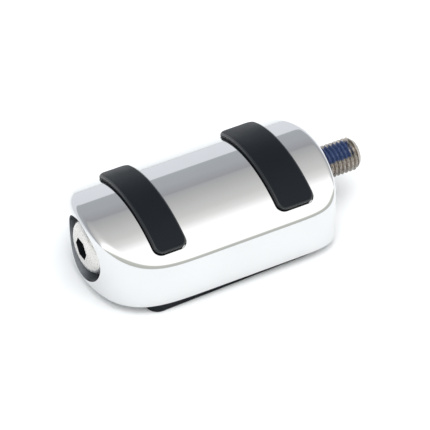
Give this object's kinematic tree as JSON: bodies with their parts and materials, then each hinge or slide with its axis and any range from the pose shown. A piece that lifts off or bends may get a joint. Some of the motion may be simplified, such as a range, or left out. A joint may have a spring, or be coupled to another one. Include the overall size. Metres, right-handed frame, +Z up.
{
  "type": "motorcycle shifter peg",
  "caption": "Chrome shifter peg with an arched top, two black rubber grip bands, a rubber sole and a through bolt whose threaded end fastens it to a lever.",
  "frame": {"origin": "on the ground below the centre of the whole part's bounding box, under the sole", "axes": "+X along the bolt towards the lever, +Y across the peg, +Z up through the arched top"},
  "size_m": [0.071, 0.0358, 0.0207],
  "materials": {
    "chrome": "polished chrome plating",
    "band_rubber": "satin moulded rubber",
    "sole_rubber": "matte moulded rubber",
    "bolt_steel": "stainless steel, lightly worn",
    "zinc_steel": "bright zinc plating"
  },
  "bodies": {
    "peg": {"chrome_body": "chrome", "rubber_band_outboard": "band_rubber", "rubber_band_inboard": "band_rubber", "rubber_sole": "sole_rubber", "band_strip_inboard": "zinc_steel", "band_strip_outboard": "zinc_steel", "sole_plate": "zinc_steel", "sole_screw_inboard_far": "zinc_steel", "sole_screw_inboard_near": "zinc_steel", "sole_screw_outboard_far": "zinc_steel", "sole_screw_outboard_near": "zinc_steel", "spacer_tube": "zinc_steel", "strip_nut_inboard_far": "zinc_steel", "strip_nut_inboard_near": "zinc_steel", "strip_nut_outboard_far": "zinc_steel", "strip_nut_outboard_near": "zinc_steel", "strip_washer_inboard_far": "zinc_steel", "strip_washer_inboard_near": "zinc_steel", "strip_washer_outboard_far": "zinc_steel", "strip_washer_outboard_near": "zinc_steel"},
    "washer": {"spring_washer": "bolt_steel"},
    "bolt": {"through_bolt": "bolt_steel"}
  },
  "joints": [
    {"name": "bolt_withdraw", "type": "slide", "parent": "peg", "child": "washer", "axis": [-1, 0, 0], "range_m": [0, 0.05]},
    {"name": "bolt_turn", "type": "hinge", "parent": "washer", "child": "bolt", "pos_m": [0, 0, 0.0105], "axis": [1, 0, 0], "continuous": true}
  ]
}
